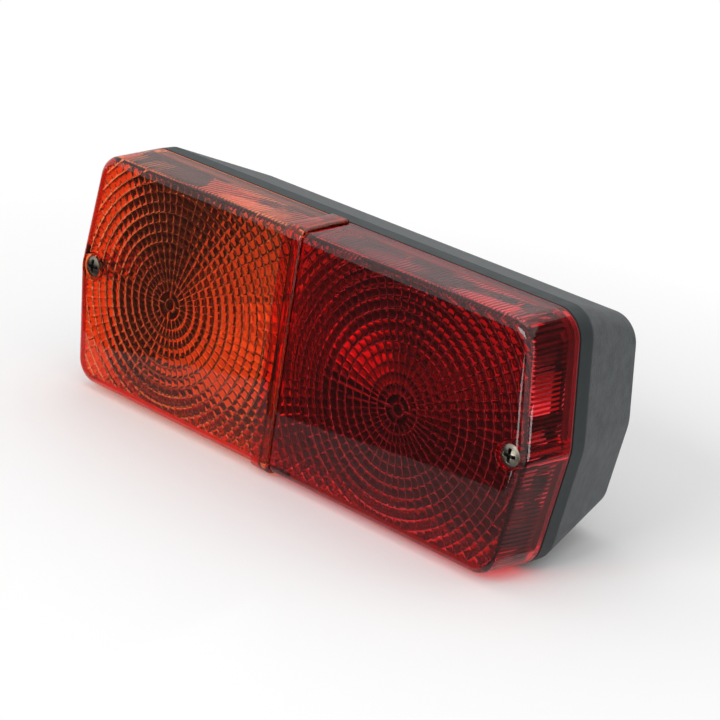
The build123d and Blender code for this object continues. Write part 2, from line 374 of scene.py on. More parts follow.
frosting = dict(grainScale=2600.0, drift=140.0, rough=(0.35, 0.55))
frostTints = dict(
    amberRim=dict(light=(0.60, 0.13, 0.030), deep=(0.48, 0.09, 0.020)),
    redRim=dict(light=(0.26, 0.010, 0.014), deep=(0.20, 0.007, 0.010)),
)


# frosted foot of a lens wall: cloudy opaque plastic that shows the colour of the light led down to it
def makeFrosted(name, light, deep):
    material, tree, shader = newMaterial(name, Specular_IOR_Level=0.4)
    grain = useGroup(tree, mouldGrain, Scale=frosting["grainScale"], Drift=frosting["drift"])
    tone = grain.outputs["Tone"]
    tree.links.new(mixColour(tree, tone, light, deep), shader.inputs["Base Color"])
    tree.links.new(spread(tree, tone, *frosting["rough"]), shader.inputs["Roughness"])
    return material


# the dark colour laid in the screws' cross slots is painted shade
plating = dict(cloud=250.0, streak=2600.0, toned=(0.1, 0.45), rubbed=(0.1, 0.5), bump=0.08,
               bumpDistance=0.0001, slotShade=(0.03, 0.028, 0.025))
metalTints = dict(
    nickel=dict(light=(0.31, 0.285, 0.235), dark=(0.20, 0.18, 0.145), rough=(0.18, 0.36), slotShadeMask="slotShadeMask"),
    # the bracket's zinc is darkened as painted shade, and its side of negative x is pale as painted light
    bracketZincShadeAndLight=dict(light=(0.13, 0.13, 0.125), dark=(0.08, 0.08, 0.075), rough=(0.45, 0.62),
                  pale=(0.80, 0.80, 0.78)),
    brightZinc=dict(light=(0.90, 0.90, 0.88), dark=(0.78, 0.78, 0.76), rough=(0.38, 0.56)),
    zincStud=dict(light=(0.62, 0.62, 0.60), dark=(0.45, 0.45, 0.43), rough=(0.25, 0.45)),
    springSteel=dict(light=(0.50, 0.50, 0.50), dark=(0.36, 0.36, 0.37), rough=(0.25, 0.4)),
    brass=dict(light=(0.72, 0.54, 0.25), dark=(0.55, 0.38, 0.16), rough=(0.22, 0.42)),
    capMetal=dict(light=(0.88, 0.86, 0.82), dark=(0.74, 0.72, 0.68), rough=(0.30, 0.46)),
)


# plated or rolled metal: marks of handling change its tone and its gloss; an attribute can lay painted shade
# in screw slots, and the side of negative x can be laid pale as painted light
def makeMetal(name, light, dark, rough, slotShadeMask=None, pale=None):
    material, tree, shader = newMaterial(name, Metallic=1.0)
    marks = useGroup(tree, handlingMarks, Cloud=plating["cloud"], Streak=plating["streak"])
    mask = marks.outputs["Mask"]
    colour = mixColour(tree, spread(tree, mask, 0.0, 1.0, *plating["toned"]), light, dark)
    # the slot's share lays painted shade in the cross recess
    if slotShadeMask:
        depth = addNode(tree, "ShaderNodeAttribute", attribute_name=slotShadeMask)
        colour = layOver(tree, depth.outputs["Fac"], colour, plating["slotShade"])
    # the side of negative x is laid pale: painted light
    if pale:
        _, axes = placeOn(tree)
        colour = layOver(tree, below(tree, axes["X"], 0.0), colour, pale)
    tree.links.new(colour, shader.inputs["Base Color"])
    tree.links.new(spread(tree, mask, *rough, *plating["rubbed"]), shader.inputs["Roughness"])
    bumpFrom(tree, mask, shader, plating["bump"], plating["bumpDistance"])
    return material


boardLook = dict(cloud=300.0, streak=1800.0, toned=(0.1, 0.45), light=(0.26, 0.14, 0.07),
                 dark=(0.13, 0.065, 0.03), rough=(0.4, 0.6))


# brown pressed laminate, streaked as by paper fibres
def makeLaminate(look):
    material, tree, shader = newMaterial("contactBoard", Specular_IOR_Level=0.4)
    marks = useGroup(tree, handlingMarks, Cloud=look["cloud"], Streak=look["streak"])
    tone = spread(tree, marks.outputs["Mask"], 0.0, 1.0, *look["toned"])
    tree.links.new(mixColour(tree, tone, look["light"], look["dark"]), shader.inputs["Base Color"])
    tree.links.new(spread(tree, tone, *look["rough"]), shader.inputs["Roughness"])
    return material


glassLook = dict(cloud=120.0, streak=500.0, clear=(1.0, 1.0, 1.0), smoky=(0.9, 0.92, 0.92), rough=(0.0, 0.05),
                 rubbed=(0.2, 0.5))


# thin clear blown glass, faintly marked
def makeBulbGlass(look):
    material, tree, shader = newMaterial("bulbGlass", Transmission_Weight=1.0, IOR=1.45, Metallic=0.0)
    marks = useGroup(tree, handlingMarks, Cloud=look["cloud"], Streak=look["streak"])
    mask = marks.outputs["Mask"]
    tree.links.new(mixColour(tree, mask, look["clear"], look["smoky"]), shader.inputs["Base Color"])
    tree.links.new(spread(tree, mask, *look["rough"], *look["rubbed"]), shader.inputs["Roughness"])
    openToShadow(tree, shader, look["clear"])
    return material


housingPlastic = makeHousingPlastic(housingLook)
rubber = makeRubber(rubberLook)
acrylics = {name: makeAcrylic(name, **tint) for name, tint in acrylicTints.items()}
frosted = {name: makeFrosted(name, **tint) for name, tint in frostTints.items()}
metals = {name: makeMetal(name, **tint) for name, tint in metalTints.items()}
contactBoard = makeLaminate(boardLook)
bulbGlass = makeBulbGlass(glassLook)
print("materials ready:", len(bpy.data.materials))


# lowest and highest corner of a node in millimetres
def boxOf(node):
    return [np.array(corner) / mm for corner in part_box(node)]


(amberLow, amberHigh), (redLow, redHigh) = boxOf("amber_lens"), boxOf("red_lens")
screwLow, screwHigh = boxOf("lens_screws")
seamX, lapX = redLow[0], amberHigh[0]
lamp = dict(length=184.0, height=redHigh[2] - redLow[2], endPoint=5.0, cornerR=9.0, bendR=16.0, arcSteps=24,
            front=redLow[1], base=redHigh[1], draft=1.2, pathSteps=9000, angleSteps=24001)
wallTilt = math.atan2(lamp["draft"], lamp["base"] - lamp["front"])


# how far a lens wall stands in at a depth: it leans evenly from its base to the front
def lean(y):
    return lamp["draft"] * (lamp["base"] - y) / (lamp["base"] - lamp["front"])


# closed outline of the lamp pulled in by an inset: six straight sides joined by arcs of a corner radius
# less the inset
def outlinePath(inset):
    halfL, halfH, point = lamp["length"] / 2, lamp["height"] / 2, lamp["endPoint"]
    corners = np.array([
        (point - halfL, -halfH), (halfL - point, -halfH), (halfL, 0),
        (halfL - point, halfH), (point - halfL, halfH), (-halfL, 0),
    ])
    radii = np.array([lamp["cornerR"], lamp["cornerR"], lamp["bendR"]] * 2)[:, None]
    before = corners - np.roll(corners, 1, 0)
    before /= np.linalg.norm(before, axis=1, keepdims=True)
    after = np.roll(before, -1, 0)
    inward = np.stack([-before[:, 1], before[:, 0]], 1)
    turn = np.arccos(np.clip((before * after).sum(1), -1, 1))[:, None]
    start = corners - before * radii * np.tan(turn / 2)
    centre = start + inward * radii
    a = (turn * np.linspace(0, 1, lamp["arcSteps"])[None, :])[..., None]
    reach = (radii - inset)[:, :, None]
    arcs = centre[:, None] + reach * (np.sin(a) * before[:, None] - np.cos(a) * inward[:, None])
    return arcs.reshape(-1, 2)


# points of a closed path at even steps of length
def evenPath(path, count):
    loop = np.vstack([path, path[:1]])
    run = np.concatenate([[0], np.cumsum(np.linalg.norm(np.diff(loop, axis=0), axis=1))])
    at = np.linspace(0, run[-1], count, endpoint=False)
    return np.stack([np.interp(at, run, loop[:, k]) for k in (0, 1)], 1)


# distance from a centre to a closed path, read as a function of the angle round that centre
def polarReach(path, centre, angle):
    dense = evenPath(path, lamp["pathSteps"]) - np.asarray(centre)
    around = np.arctan2(dense[:, 1], dense[:, 0])
    order = np.argsort(around)
    return np.interp(angle, around[order], np.hypot(dense[:, 0], dense[:, 1])[order], period=2 * math.pi)


# the least turn towards the line that counts as meeting it, and the reach given to a ray that misses
missed = dict(least=1e-6, reach=1e4)


# distance from a centre to the line x = edge along each angle, and a large number where the ray misses it
def seamReach(edge, centre, angle):
    gap = edge - centre[0]
    meets = gap * np.cos(angle) > missed["least"]
    return np.where(meets, gap / np.where(meets, np.cos(angle), 1.0), missed["reach"])


# distance from a centre to the lamp's outline at an inset, or to the joint where that is nearer
def wallReach(inset, centre, seam, angle):
    return np.minimum(polarReach(outlinePath(inset), centre, angle), seam)


# points at a reach and an angle round a line along Y
def roundY(x, z, reach, angle, y):
    return np.stack(np.broadcast_arrays(x + reach * np.cos(angle), y, z + reach * np.sin(angle)), -1)


# zones give how many sectors a ring has, up to a radius
optics = dict(
    amberX=seamX - 47.1, redX=seamX + 47.1, z=-1.5, face=lamp["front"] + 2.4, floor=0.2, firstRing=1.36,
    ringPitch=3.04, rings=20, ringSteps=(0.0, 0.11, 0.35, 0.65, 0.89), ringBulge=0.42, cellBulge=0.20,
    power=4, nudge=1e-9, calmTo=19.6, calmRing=0.31, calmCell=0.20,
    zones=((7.4, 20), (19.6, 40), (28.5, 56), (37.8, 76), (90.0, 96)),
    hubR=2.1, hubWidth=0.32, hubRise=0.35, hubRows=14, hubGap=0.01, spokeTo=4.4, spokeWidth=0.30,
)


# height of the optics over the inner face: each cell of a ring and a sector bulges as one minus a power of
# its two local coordinates, lower where it is narrow and calmer in the middle; inside the first ring stand
# a small hub circle and four spokes
def opticHeight(r, angle):
    o = optics
    ring = np.maximum(np.floor((r - o["firstRing"]) / o["ringPitch"] + o["nudge"]), 0)
    v = np.clip(2 * (r - o["firstRing"] - ring * o["ringPitch"]) / o["ringPitch"] - 1, -1, 1)
    middle = o["firstRing"] + (ring + 0.5) * o["ringPitch"]
    edges, counts = zip(*o["zones"])
    sectors = np.select([middle < edge for edge in edges], counts, counts[-1])
    u = 2 * ((angle * sectors / (2 * math.pi)) % 1.0) - 1
    width = math.pi * middle / sectors
    calm = middle < o["calmTo"]
    cells = np.where(calm, o["calmRing"], o["ringBulge"]) * (1 - v ** o["power"])
    cells += np.where(calm, o["calmCell"], o["cellBulge"]) * width * (1 - u ** o["power"])
    hub = o["hubRise"] * np.exp(-((r - o["hubR"]) / o["hubWidth"]) ** 2)
    offAxis = r * np.abs(np.sin(2 * angle)) / 2
    spoke = o["hubRise"] * np.exp(-(offAxis / o["spokeWidth"]) ** 2) * (r > o["hubR"])
    return o["floor"] + np.where(r < o["spokeTo"], np.maximum(hub, spoke), cells)


lens = dict(
    wall=2.4, edgeR=3.0, edgeSteps=9, frontRows=(0.0, 0.3, 0.6, 0.85), wallRows=(0.3, 0.65),
    flutes=212, columnsPerFlute=4, fluteDepth=0.34, fluteStart=0.1, plainFoot=3.0, rim=0.5, rimGap=0.02,
    rimColumns=600, screwX=screwHigh[0] - 3.5, bossR=4.6, bossSink=1.0, boreR=2.2, recessR=4.2,
    recessTo=screwLow[1] + 2.4, cutAhead=9.0, cutBehind=7.0, turnSteps=48, sharp=30.0,
)


# angles round the centre that step evenly along the inner wall, a fixed number to each flute
def columnAngles(centre, edge):
    angle = np.linspace(-math.pi, math.pi, lamp["angleSteps"])
    reach = wallReach(lens["wall"], centre, seamReach(edge, centre, angle), angle)
    x, z = reach * np.cos(angle), reach * np.sin(angle)
    run = np.concatenate([[0], np.cumsum(np.hypot(np.diff(x), np.diff(z)))])
    count = lens["flutes"] * lens["columnsPerFlute"]
    return np.interp(np.linspace(0, run[-1], count, endpoint=False), run, angle)


# insets and depths of the rounded front edge: an arc tangent to the flat front and to the leaning wall
def edgeArc():
    r = lens["edgeR"]
    a = np.linspace(0, math.pi / 2 - wallTilt, lens["edgeSteps"])
    y = lamp["front"] + r
    return lean(y) + r / math.cos(wallTilt) - r * np.sin(a), y - r * np.cos(a)


# one lens half as a cup: each ray from the optic centre runs out over the front, round the edge arc, down
# the wall, across its base, up the inside, which is plain at its foot and fluted above, and back over the
# rings to the centre
def lensCup(centre, edge):
    angle = columnAngles(centre, edge)
    seam = seamReach(edge, centre, angle)
    cut = seam < polarReach(outlinePath(lens["wall"]), centre, angle)
    saw = np.abs(np.arange(len(angle)) % lens["columnsPerFlute"] / lens["columnsPerFlute"] * 2 - 1)
    flute = np.where(cut, 0, lens["fluteDepth"] * saw)
    face, foot = optics["face"], lamp["base"] - lens["rim"]
    step = lamp["base"] - lens["plainFoot"]
    arcInset, arcY = edgeArc()
    flat = wallReach(arcInset[0], centre, seam, angle)
    rows = [(flat * share, lamp["front"]) for share in lens["frontRows"]]
    rows += [(wallReach(inset, centre, seam, angle), y) for inset, y in zip(arcInset, arcY)]
    wallY = lamp["front"] + (lamp["base"] - lamp["front"]) * np.array(lens["wallRows"])
    rows += [(wallReach(lean(y), centre, seam, angle), y) for y in (*wallY, foot)]
    innerReach = lambda y: wallReach(lens["wall"] + lean(y), centre, seam, angle)
    rows += [(innerReach(y), y) for y in (foot, step)]
    rows += [(innerReach(y) - flute, y) for y in (step - lens["fluteStart"], (step + face) / 2)]
    share = np.arange(1, optics["rings"])[:, None] + np.array(optics["ringSteps"])
    radii = optics["firstRing"] + optics["ringPitch"] * share.ravel()[::-1]
    hubRadii = np.linspace(optics["spokeTo"] - optics["hubGap"], 0, optics["hubRows"])
    radii = np.concatenate([radii, hubRadii])[:, None]
    reach = np.array([row[0] for row in rows])
    y = np.array([np.full(len(angle), row[1]) for row in rows])
    y = np.where(cut, np.minimum(y, face), y)
    dome = np.minimum(radii, innerReach(face) - flute)
    reach = np.concatenate([reach, dome])
    y = np.concatenate([y, face + opticHeight(dome, angle)])
    return roundY(*centre, reach, angle, y), gridFaces(len(reach), len(angle))


# frosted foot of a lens wall: a flat ring as wide as the wall and as high as the rim
def lensRim(centre, edge):
    angle = np.linspace(-math.pi, math.pi, lens["rimColumns"], endpoint=False)
    seam = seamReach(edge, centre, angle)
    y = np.array([lamp["base"] - lens["rim"] + lens["rimGap"], lamp["base"]])
    y = np.concatenate([y, y[::-1]])
    insets = lean(y) + lens["wall"] * np.array([0, 0, 1, 1])
    reach = np.array([wallReach(inset, centre, seam, angle) for inset in insets])
    return roundY(*centre, reach, angle, y[:, None]), gridFaces(len(y), len(angle), wrapRows=True)


joint = dict(rise=redLow[1] - amberLow[1], round=0.75, roundSteps=5, lap=0.8, gap=0.05, sink=0.3, clear=0.02,
             start=2 * seamX - lapX, frontZ=(-20.0, -8.0, 0.0))


# a strip across the joint: a closed profile of (x, height over the lens) points carried along the U of the
# lens section
def jointStrip(profile):
    inset, arcY = edgeArc()
    half, flatRows = lamp["height"] / 2, len(joint["frontZ"])
    a = np.linspace(wallTilt, math.pi / 2, len(inset))
    foot = lamp["base"] - lens["rim"]
    y = np.concatenate([[foot, (foot + lamp["front"]) / 2], arcY[::-1], [lamp["front"]] * flatRows])
    z = np.concatenate([lean(y[:2]) - half, inset[::-1] - half, joint["frontZ"]])
    tip = np.concatenate([[wallTilt, wallTilt], a, [math.pi / 2] * flatRows])
    ny, nz = -np.sin(tip), -np.cos(tip)
    y, ny = np.concatenate([y, y[-2::-1]]), np.concatenate([ny, ny[-2::-1]])
    z, nz = np.concatenate([z, -z[-2::-1]]), np.concatenate([nz, -nz[-2::-1]])
    across, up = profile[:, 0] + 0 * y[:, None], profile[:, 1]
    points = np.stack([across, y[:, None] + up * ny[:, None], z[:, None] + up * nz[:, None]], -1)
    ends = np.arange(len(profile)) + np.array([[0], [(len(y) - 1) * len(profile)]])
    return points, gridFaces(len(y), len(profile)), ends


# a closed solid of revolution about a line along Y: radii at given depths, turned in even steps
def turned(x, z, profile):
    a = np.linspace(0, 2 * math.pi, lens["turnSteps"], endpoint=False)
    return roundY(x, z, profile[:, :1], a, profile[:, 1:]), gridFaces(len(profile), len(a))


# cuts or joins a helper solid by a boolean that is applied at once
def applyBoolean(obj, helper, operation):
    step = obj.modifiers.new("joint", "BOOLEAN")
    step.object, step.operation, step.solver = helper, operation, "EXACT"
    result = bpy.data.meshes.new_from_object(obj.evaluated_get(bpy.context.evaluated_depsgraph_get()))
    obj.modifiers.clear()
    old, obj.data = obj.data, result
    bpy.data.meshes.remove(old)
    bpy.data.objects.remove(helper)


# joins a second mesh object into the first as a loose shell
def joinShell(obj, extra):
    work = bmesh.new()
    work.from_mesh(obj.data)
    work.from_mesh(extra.data)
    work.to_mesh(obj.data)
    work.free()
    bpy.data.objects.remove(extra)
    finishMesh(obj.data, lens["sharp"])


# a lens half: the cup, with the screw's boss joined on, bore and recess cut, and the joint strip laid on
def makeLens(name, centre, edge, side, profile):
    obj = putMesh(name, [lensCup(centre, edge)])
    x, foot = side * lens["screwX"], lamp["base"] - lens["rim"]
    top, bossR = optics["face"] - lens["bossSink"], lens["bossR"]
    post = np.array([(0, top), (bossR, top), (bossR, foot), (0, foot)])
    applyBoolean(obj, putMesh("post", [turned(x, 0, post)]), "UNION")
    ahead, behind = lamp["front"] - lens["cutAhead"], lamp["base"] + lens["cutBehind"]
    recessR, boreR, floor = lens["recessR"], lens["boreR"], lens["recessTo"]
    hole = [(0, ahead), (recessR, ahead), (recessR, floor), (boreR, floor), (boreR, behind), (0, behind)]
    applyBoolean(obj, putMesh("bore", [turned(x, 0, np.array(hole))]), "DIFFERENCE")
    joinShell(obj, putMesh("strip", [jointStrip(profile)]))
    return obj


# profile of the amber bead over the joint: a flat top, two quarter-round shoulders and a step under its lap
def beadProfile(j):
    a = np.linspace(0, math.pi / 2, j["roundSteps"])
    fall, run = j["round"] * (1 - np.sin(a)), j["round"] * (1 - np.cos(a))
    left = np.stack([j["start"] + run, j["rise"] - fall], 1)
    right = np.stack([lapX - fall, j["rise"] - run], 1)
    step = j["gap"] - j["lap"]
    under = [(lapX, step), (seamX, step), (seamX, -j["sink"]), (j["start"], -j["sink"])]
    return np.vstack([left, right, under])


# profile of the red tongue under the bead: a plain rectangle from the lap down to the inside of the wall
def tongueProfile(j):
    near, far = seamX + j["clear"], lapX + j["sink"]
    return np.array([(near, -j["lap"]), (far, -j["lap"]), (far, -lens["wall"]), (near, -lens["wall"])])


amberCentre, redCentre = (optics["amberX"], optics["z"]), (optics["redX"], optics["z"])
amberLens = makeLens("amberLens", amberCentre, seamX, -1, beadProfile(joint))
redLens = makeLens("redLens", redCentre, lapX, 1, tongueProfile(joint))
settle(amberLens, acrylics["amberAcrylic"], "amber_lens", "amber_lens")
settle(redLens, acrylics["redAcrylic"], "red_lens", "red_lens")
settle(putMesh("amberFoot", [lensRim(amberCentre, seamX)]), frosted["amberRim"], "amber_lens")
settle(putMesh("redFoot", [lensRim(redCentre, lapX)]), frosted["redRim"], "red_lens")

screw = dict(
    x=lens["screwX"], headR=3.5, headRows=26, rimR=0.35, rimSteps=5, top=screwLow[1], seat=lens["recessTo"],
    dome=0.75, slotHalf=0.52, slotReach=2.15, slotDeep=1.35, slotLean=0.16, slotFloor=(1.15, 0.55),
    plainAngle=0.4, shankR=1.95, threadDeep=0.38, threadPitch=1.4, threadPower=1.5, threadRows=96,
    tip=screwHigh[1], tipLength=2.5, tipR=0.5, tipCut=0.3, around=72, sharp=35.0,
)


# share of a slot at a distance from its middle: one inside, falling evenly to nought over its wall's lean
def slotShare(distance, half):
    return np.clip((half - np.abs(distance)) / screw["slotLean"], 0, 1)


# depth of the screw head behind its top: a shallow dome and a cross slot with leaning walls, which is
# deepest in the middle; returned with the share of the slot
def headDepth(r, angle):
    s = screw
    dome = s["dome"] * (r / s["headR"]) ** 2
    x, z = r * np.cos(angle), r * np.sin(angle)
    along = np.minimum(slotShare(z, s["slotHalf"]), slotShare(x, s["slotReach"]))
    across = np.minimum(slotShare(x, s["slotHalf"]), slotShare(z, s["slotReach"]))
    arm = np.maximum(along, across)
    most, fall = s["slotFloor"]
    sink = arm * np.maximum(s["slotDeep"] * (most - r / s["slotReach"] * fall) - dome, 0)
    return dome + sink, arm


# crest of a helical thread, from nought in its root to one: a triangle wave of the depth less the angle
def threadWave(y, angle, pitch):
    return np.abs(((y / pitch - angle / (2 * math.pi)) % 1.0) * 2 - 1)


# rows of a turned shape, one radius and depth to each, with no slot in them
def plainRows(radii, depths, angle):
    r, y = np.asarray(radii)[:, None] + 0 * angle, np.asarray(depths)[:, None] + 0 * angle
    return np.stack([r, y, 0 * y], -1)


# a pan-head screw: domed head, rounded rim, seat, a threaded shank whose radius follows a helix, and a tip
def screwParts(x):
    s = screw
    angle = np.linspace(0, 2 * math.pi, s["around"], endpoint=False)
    brim = s["headR"] - s["rimR"]
    radii = np.linspace(0, brim, s["headRows"])[:, None]
    depth, arm = headDepth(radii, angle[None, :])
    head = np.stack([np.broadcast_to(radii, depth.shape), s["top"] + depth, arm], -1)
    a = np.linspace(0, math.pi / 2, s["rimSteps"])[1:]
    edge = s["top"] + headDepth(brim, s["plainAngle"])[0]
    rim = plainRows(brim + s["rimR"] * np.sin(a), edge + s["rimR"] * (1 - np.cos(a)), angle)
    seat = plainRows((s["headR"], s["shankR"]), (s["seat"], s["seat"]), angle)
    y = np.linspace(s["seat"], s["tip"] - s["tipLength"], s["threadRows"])[:, None] + 0 * angle
    groove = s["threadDeep"] * (1 - threadWave(y, angle, s["threadPitch"])) ** s["threadPower"]
    shank = np.stack([s["shankR"] - groove, y, 0 * y], -1)
    tip = plainRows((s["tipR"], 0.0), (s["tip"] - s["tipCut"], s["tip"]), angle)
    grid = np.concatenate([head, rim, seat, shank, tip])
    return roundY(x, 0, grid[..., 0], angle, grid[..., 1]), gridFaces(len(grid), len(angle)), grid[..., 2]


# both lens screws as one mesh, with the share of the slot as an attribute that masks painted shade in the
# slot
def makeScrews():
    pairs = [screwParts(side * screw["x"]) for side in (-1, 1)]
    slotShadeMask = np.concatenate([pair[2].ravel() for pair in pairs])
    return putMesh("lensScrews", [pair[:2] for pair in pairs], screw["sharp"], ("slotShadeMask", slotShadeMask))


settle(makeScrews(), metals["nickel"], "screw_steel", "lens_screws")

bulb = dict(
    seam=seamX, y=-34.0, z=optics["z"], capEnd=25.9, end=59.4, bellyR=12.4, neckR=6.6, wall=0.45, around=72,
    neckLength=3.0, neckRows=3, swellLength=13.0, swellRows=12, domeFrom=20.0, domeRows=16, sharp=40.0,
)


# a closed solid of revolution about the bulb's own line, which lies along X
def turnedAcross(side, profile, steps):
    a = np.linspace(0, 2 * math.pi, steps, endpoint=False)
    along, r = profile[:, 0][:, None], profile[:, 1][:, None]
    x = bulb["seam"] + side * (along + 0 * a)
    points = np.stack([x, bulb["y"] + r * np.cos(a), bulb["z"] + r * np.sin(a)], -1)
    return points, gridFaces(len(profile), steps)


# profile of the blown glass: neck, a cosine swell to the belly, and an elliptic end
def glassProfile(shrink):
    b = bulb
    neckX = np.linspace(b["capEnd"], b["capEnd"] + b["neckLength"], b["neckRows"])
    t = np.linspace(0, 1, b["swellRows"])[1:]
    swellX = b["capEnd"] + b["neckLength"] + b["swellLength"] * t
    swellR = b["neckR"] + (b["bellyR"] - b["neckR"]) * (1 - np.cos(math.pi * t)) / 2
    a = np.linspace(0, math.pi / 2, b["domeRows"])[1:]
    domeX = b["capEnd"] + b["domeFrom"] + (b["end"] - (b["capEnd"] + b["domeFrom"])) * np.sin(a)
    x = np.concatenate([neckX, swellX, domeX])
    r = np.concatenate([np.full(len(neckX), b["neckR"]), swellR, b["bellyR"] * np.cos(a)])
    return np.stack([np.minimum(x, b["end"] - shrink), np.maximum(r - shrink, 0)], 1)


# a bulb's glass: the profile, and back along the same profile shrunk by the wall
def makeGlass(name, side, slotNode):
    outer, inner = glassProfile(0.0), glassProfile(bulb["wall"])
    shell = np.vstack([outer, inner[::-1], outer[:1]])
    obj = putMesh(name, [turnedAcross(side, shell, bulb["around"])], bulb["sharp"])
    return settle(obj, bulbGlass, "bulb_glass", slotNode)


makeGlass("indicatorGlass", -1, "indicator_bulb_glass")
makeGlass("stopTailGlass", 1, "stop_tail_bulb_glass")

# offLine is a direction that no wire follows
filament = dict(
    coilR=0.45, turns=14, turnSteps=12, wireR=0.12, wireSides=6, postR=0.3, postSides=8, postSteps=14,
    postSpread=(0.55, 0.45), reach=41.0, half=3.2, offLine=(0.31, 0.87, 0.38), sharp=50.0,
)


# a tube carried along a path: a small circle set square to the path's direction at each point
def tube(path, radius, sides):
    ahead = np.gradient(path, axis=0)
    ahead /= np.linalg.norm(ahead, axis=1, keepdims=True)
    side = np.cross(ahead, np.array(filament["offLine"]))
    side /= np.linalg.norm(side, axis=1, keepdims=True)
    other = np.cross(ahead, side)
    a = np.linspace(0, 2 * math.pi, sides, endpoint=False)[None, :, None]
    points = path[:, None] + radius * (np.cos(a) * side[:, None] + np.sin(a) * other[:, None])
    ends = np.arange(sides) + np.array([[0], [(len(path) - 1) * sides]])
    return points, gridFaces(len(path), sides), ends


# a filament on two posts: the coil is a helix across the bulb, the posts bend from the cap to its ends
def makeFilament(name, side):
    f, b = filament, bulb
    t = np.linspace(-0.5, 0.5, f["turns"] * f["turnSteps"])
    turn = 2 * math.pi * f["turns"] * t
    coilX = b["seam"] + side * f["reach"] + f["coilR"] * np.cos(turn)
    coil = np.stack([coilX, b["y"] + f["coilR"] * np.sin(turn), b["z"] + 2 * f["half"] * t], -1)
    parts = [tube(coil, f["wireR"], f["wireSides"])]
    s = np.linspace(0, 1, f["postSteps"])
    foot, rest = f["postSpread"]
    bend = f["half"] * (foot + rest * s ** 2)
    postX = b["seam"] + side * (b["capEnd"] + (f["reach"] - b["capEnd"]) * s)
    for up in (-1, 1):
        post = np.stack([postX, b["y"] + 0 * s, b["z"] + up * bend], -1)
        parts.append(tube(post, f["postR"], f["postSides"]))
    return settle(putMesh(name, parts, f["sharp"]), metals["springSteel"], "spring_steel")


makeFilament("indicatorFilament", -1)
makeFilament("stopFilament", 1)

stud = dict(x=45.0, r=3.0, length=18.0, pitch=1.0, deep=0.55, around=64, rows=160, plain=1.2, chamfer=0.8,
            flats=10.0, head=4.0, foot=-4.0, sharp=32.0)


# a threaded stud: a shank whose radius follows a helix, plain at its start and chamfered at its end, then
# the hex head and the square neck as prisms
def studParts(x):
    s = stud
    angle = np.linspace(0, 2 * math.pi, s["around"], endpoint=False)
    y = np.linspace(0.0, s["length"], s["rows"])[:, None] + 0 * angle
    r = s["r"] - s["deep"] * (1 - threadWave(y, angle, s["pitch"]))
    r = np.minimum(r, s["r"] - np.clip(y - (s["length"] - s["chamfer"]), 0, 1))
    r = np.where(y < s["plain"], s["r"], r)
    pole = np.zeros((1, len(angle)))
    r = np.concatenate([pole, r, pole])
    y = np.concatenate([y[:1], y, y[-1:]])
    parts = [(roundY(x, 0, r, angle, y), gridFaces(len(r), len(angle)))]
    headPrism = (6, s["flats"] / math.sqrt(3), s["foot"] - s["head"], s["foot"])
    neckPrism = (4, s["r"] * math.sqrt(2), s["foot"], 0.0)
    for sides, across, low, high in (headPrism, neckPrism):
        a = (np.arange(sides) + 0.5) * 2 * math.pi / sides
        radii = np.array([0, across, across, 0])[:, None]
        depth = np.array([low, low, high, high])[:, None]
        parts.append((roundY(x, 0, radii, a, depth), gridFaces(len(radii), sides)))
    return parts


studs = putMesh("mountingStuds", studParts(-stud["x"]) + studParts(stud["x"]), stud["sharp"])
settle(studs, metals["zincStud"], "stud_steel", "mounting_studs")

brass, brightZinc, capMetal = metals["brass"], metals["brightZinc"], metals["capMetal"]
finishes = {
    "housing": housingPlastic, "lens_gasket": rubber, "cable_grommet": rubber,
    "indicator_contact_plate": contactBoard, "stop_tail_contact_plate": contactBoard,
    "bulb_bracket": metals["bracketZincShadeAndLight"], "contact_spring": metals["springSteel"],
    "indicator_contact": brass, "stop_contact": brass, "tail_contact": brass, "earth_blade": brass,
    "indicator_socket": brightZinc, "stop_tail_socket": brightZinc,
    "indicator_bulb_cap": capMetal, "stop_tail_bulb_cap": capMetal,
}
for nodeName, finish in finishes.items():
    if not nodes[nodeName].material_slots:
        nodes[nodeName].data.materials.append(None)
    for slot in nodes[nodeName].material_slots:
        slot.material = finish
print("nodes dressed:", len(finishes))

# places are in metres; a flag lies flat at its lift above the floor or stands upright between its two ends
stage = dict(
    floor=amberLow[2] * mm - 0.0001, size=6.0, colour=(0.92, 0.92, 0.92), whiteFrom=0.11, whiteTo=0.27,
    flatFlags=dict(
        frontFlag=dict(lift=0.002, tone=0.07, corners=(
            (-0.40, -0.0918), (-0.1026, -0.0918), (-0.0552, -0.1204), (-0.0316, -0.1024), (0.0154, -0.1147),
            (0.0446, -0.121), (0.15, -0.150), (0.15, -0.9), (-1.2, -0.9),
        )),
        endFlag=dict(lift=0.002, tone=0.10, corners=((0.15, -0.06), (1.2, -0.06), (1.2, 0.9), (0.15, 0.9))),
        nearFlag=dict(lift=0.001, tone=0.40, corners=(
            (-0.45, -0.066), (0.094, -0.066), (0.094, 0.05), (0.17, 0.05), (0.17, -0.2), (-0.45, -0.2),
        )),
    ),
    backFlags=dict(
        backFlag0=dict(tone=0.10, ends=((0.15, 0.9), (1.2, 0.9))),
        backFlag1=dict(tone=0.10, ends=((1.2, 0.9), (1.2, -0.06))),
        backFlag2=dict(tone=0.78, ends=((-2.2, 0.9), (0.15, 0.9))),
    ),
    flagTop=1.0, seenInGlass=("frontFlag", "nearFlag"),
    strips=dict(
        endStrip=((0.1773, -0.0025), (0.1927, -0.0395)),
        frontStrip=((0.065, -0.200), (0.057, -0.122)),
    ),
    stripTop=0.0, stripGlow=3.8,
)


# a flat card given by its corners
def flatCard(name, corners, material):
    mesh = bpy.data.meshes.new(name)
    mesh.from_pydata(corners, [], [list(range(len(corners)))])
    mesh.materials.append(material)
    obj = bpy.data.objects.new(name, mesh)
    scene.collection.objects.link(obj)
    return obj


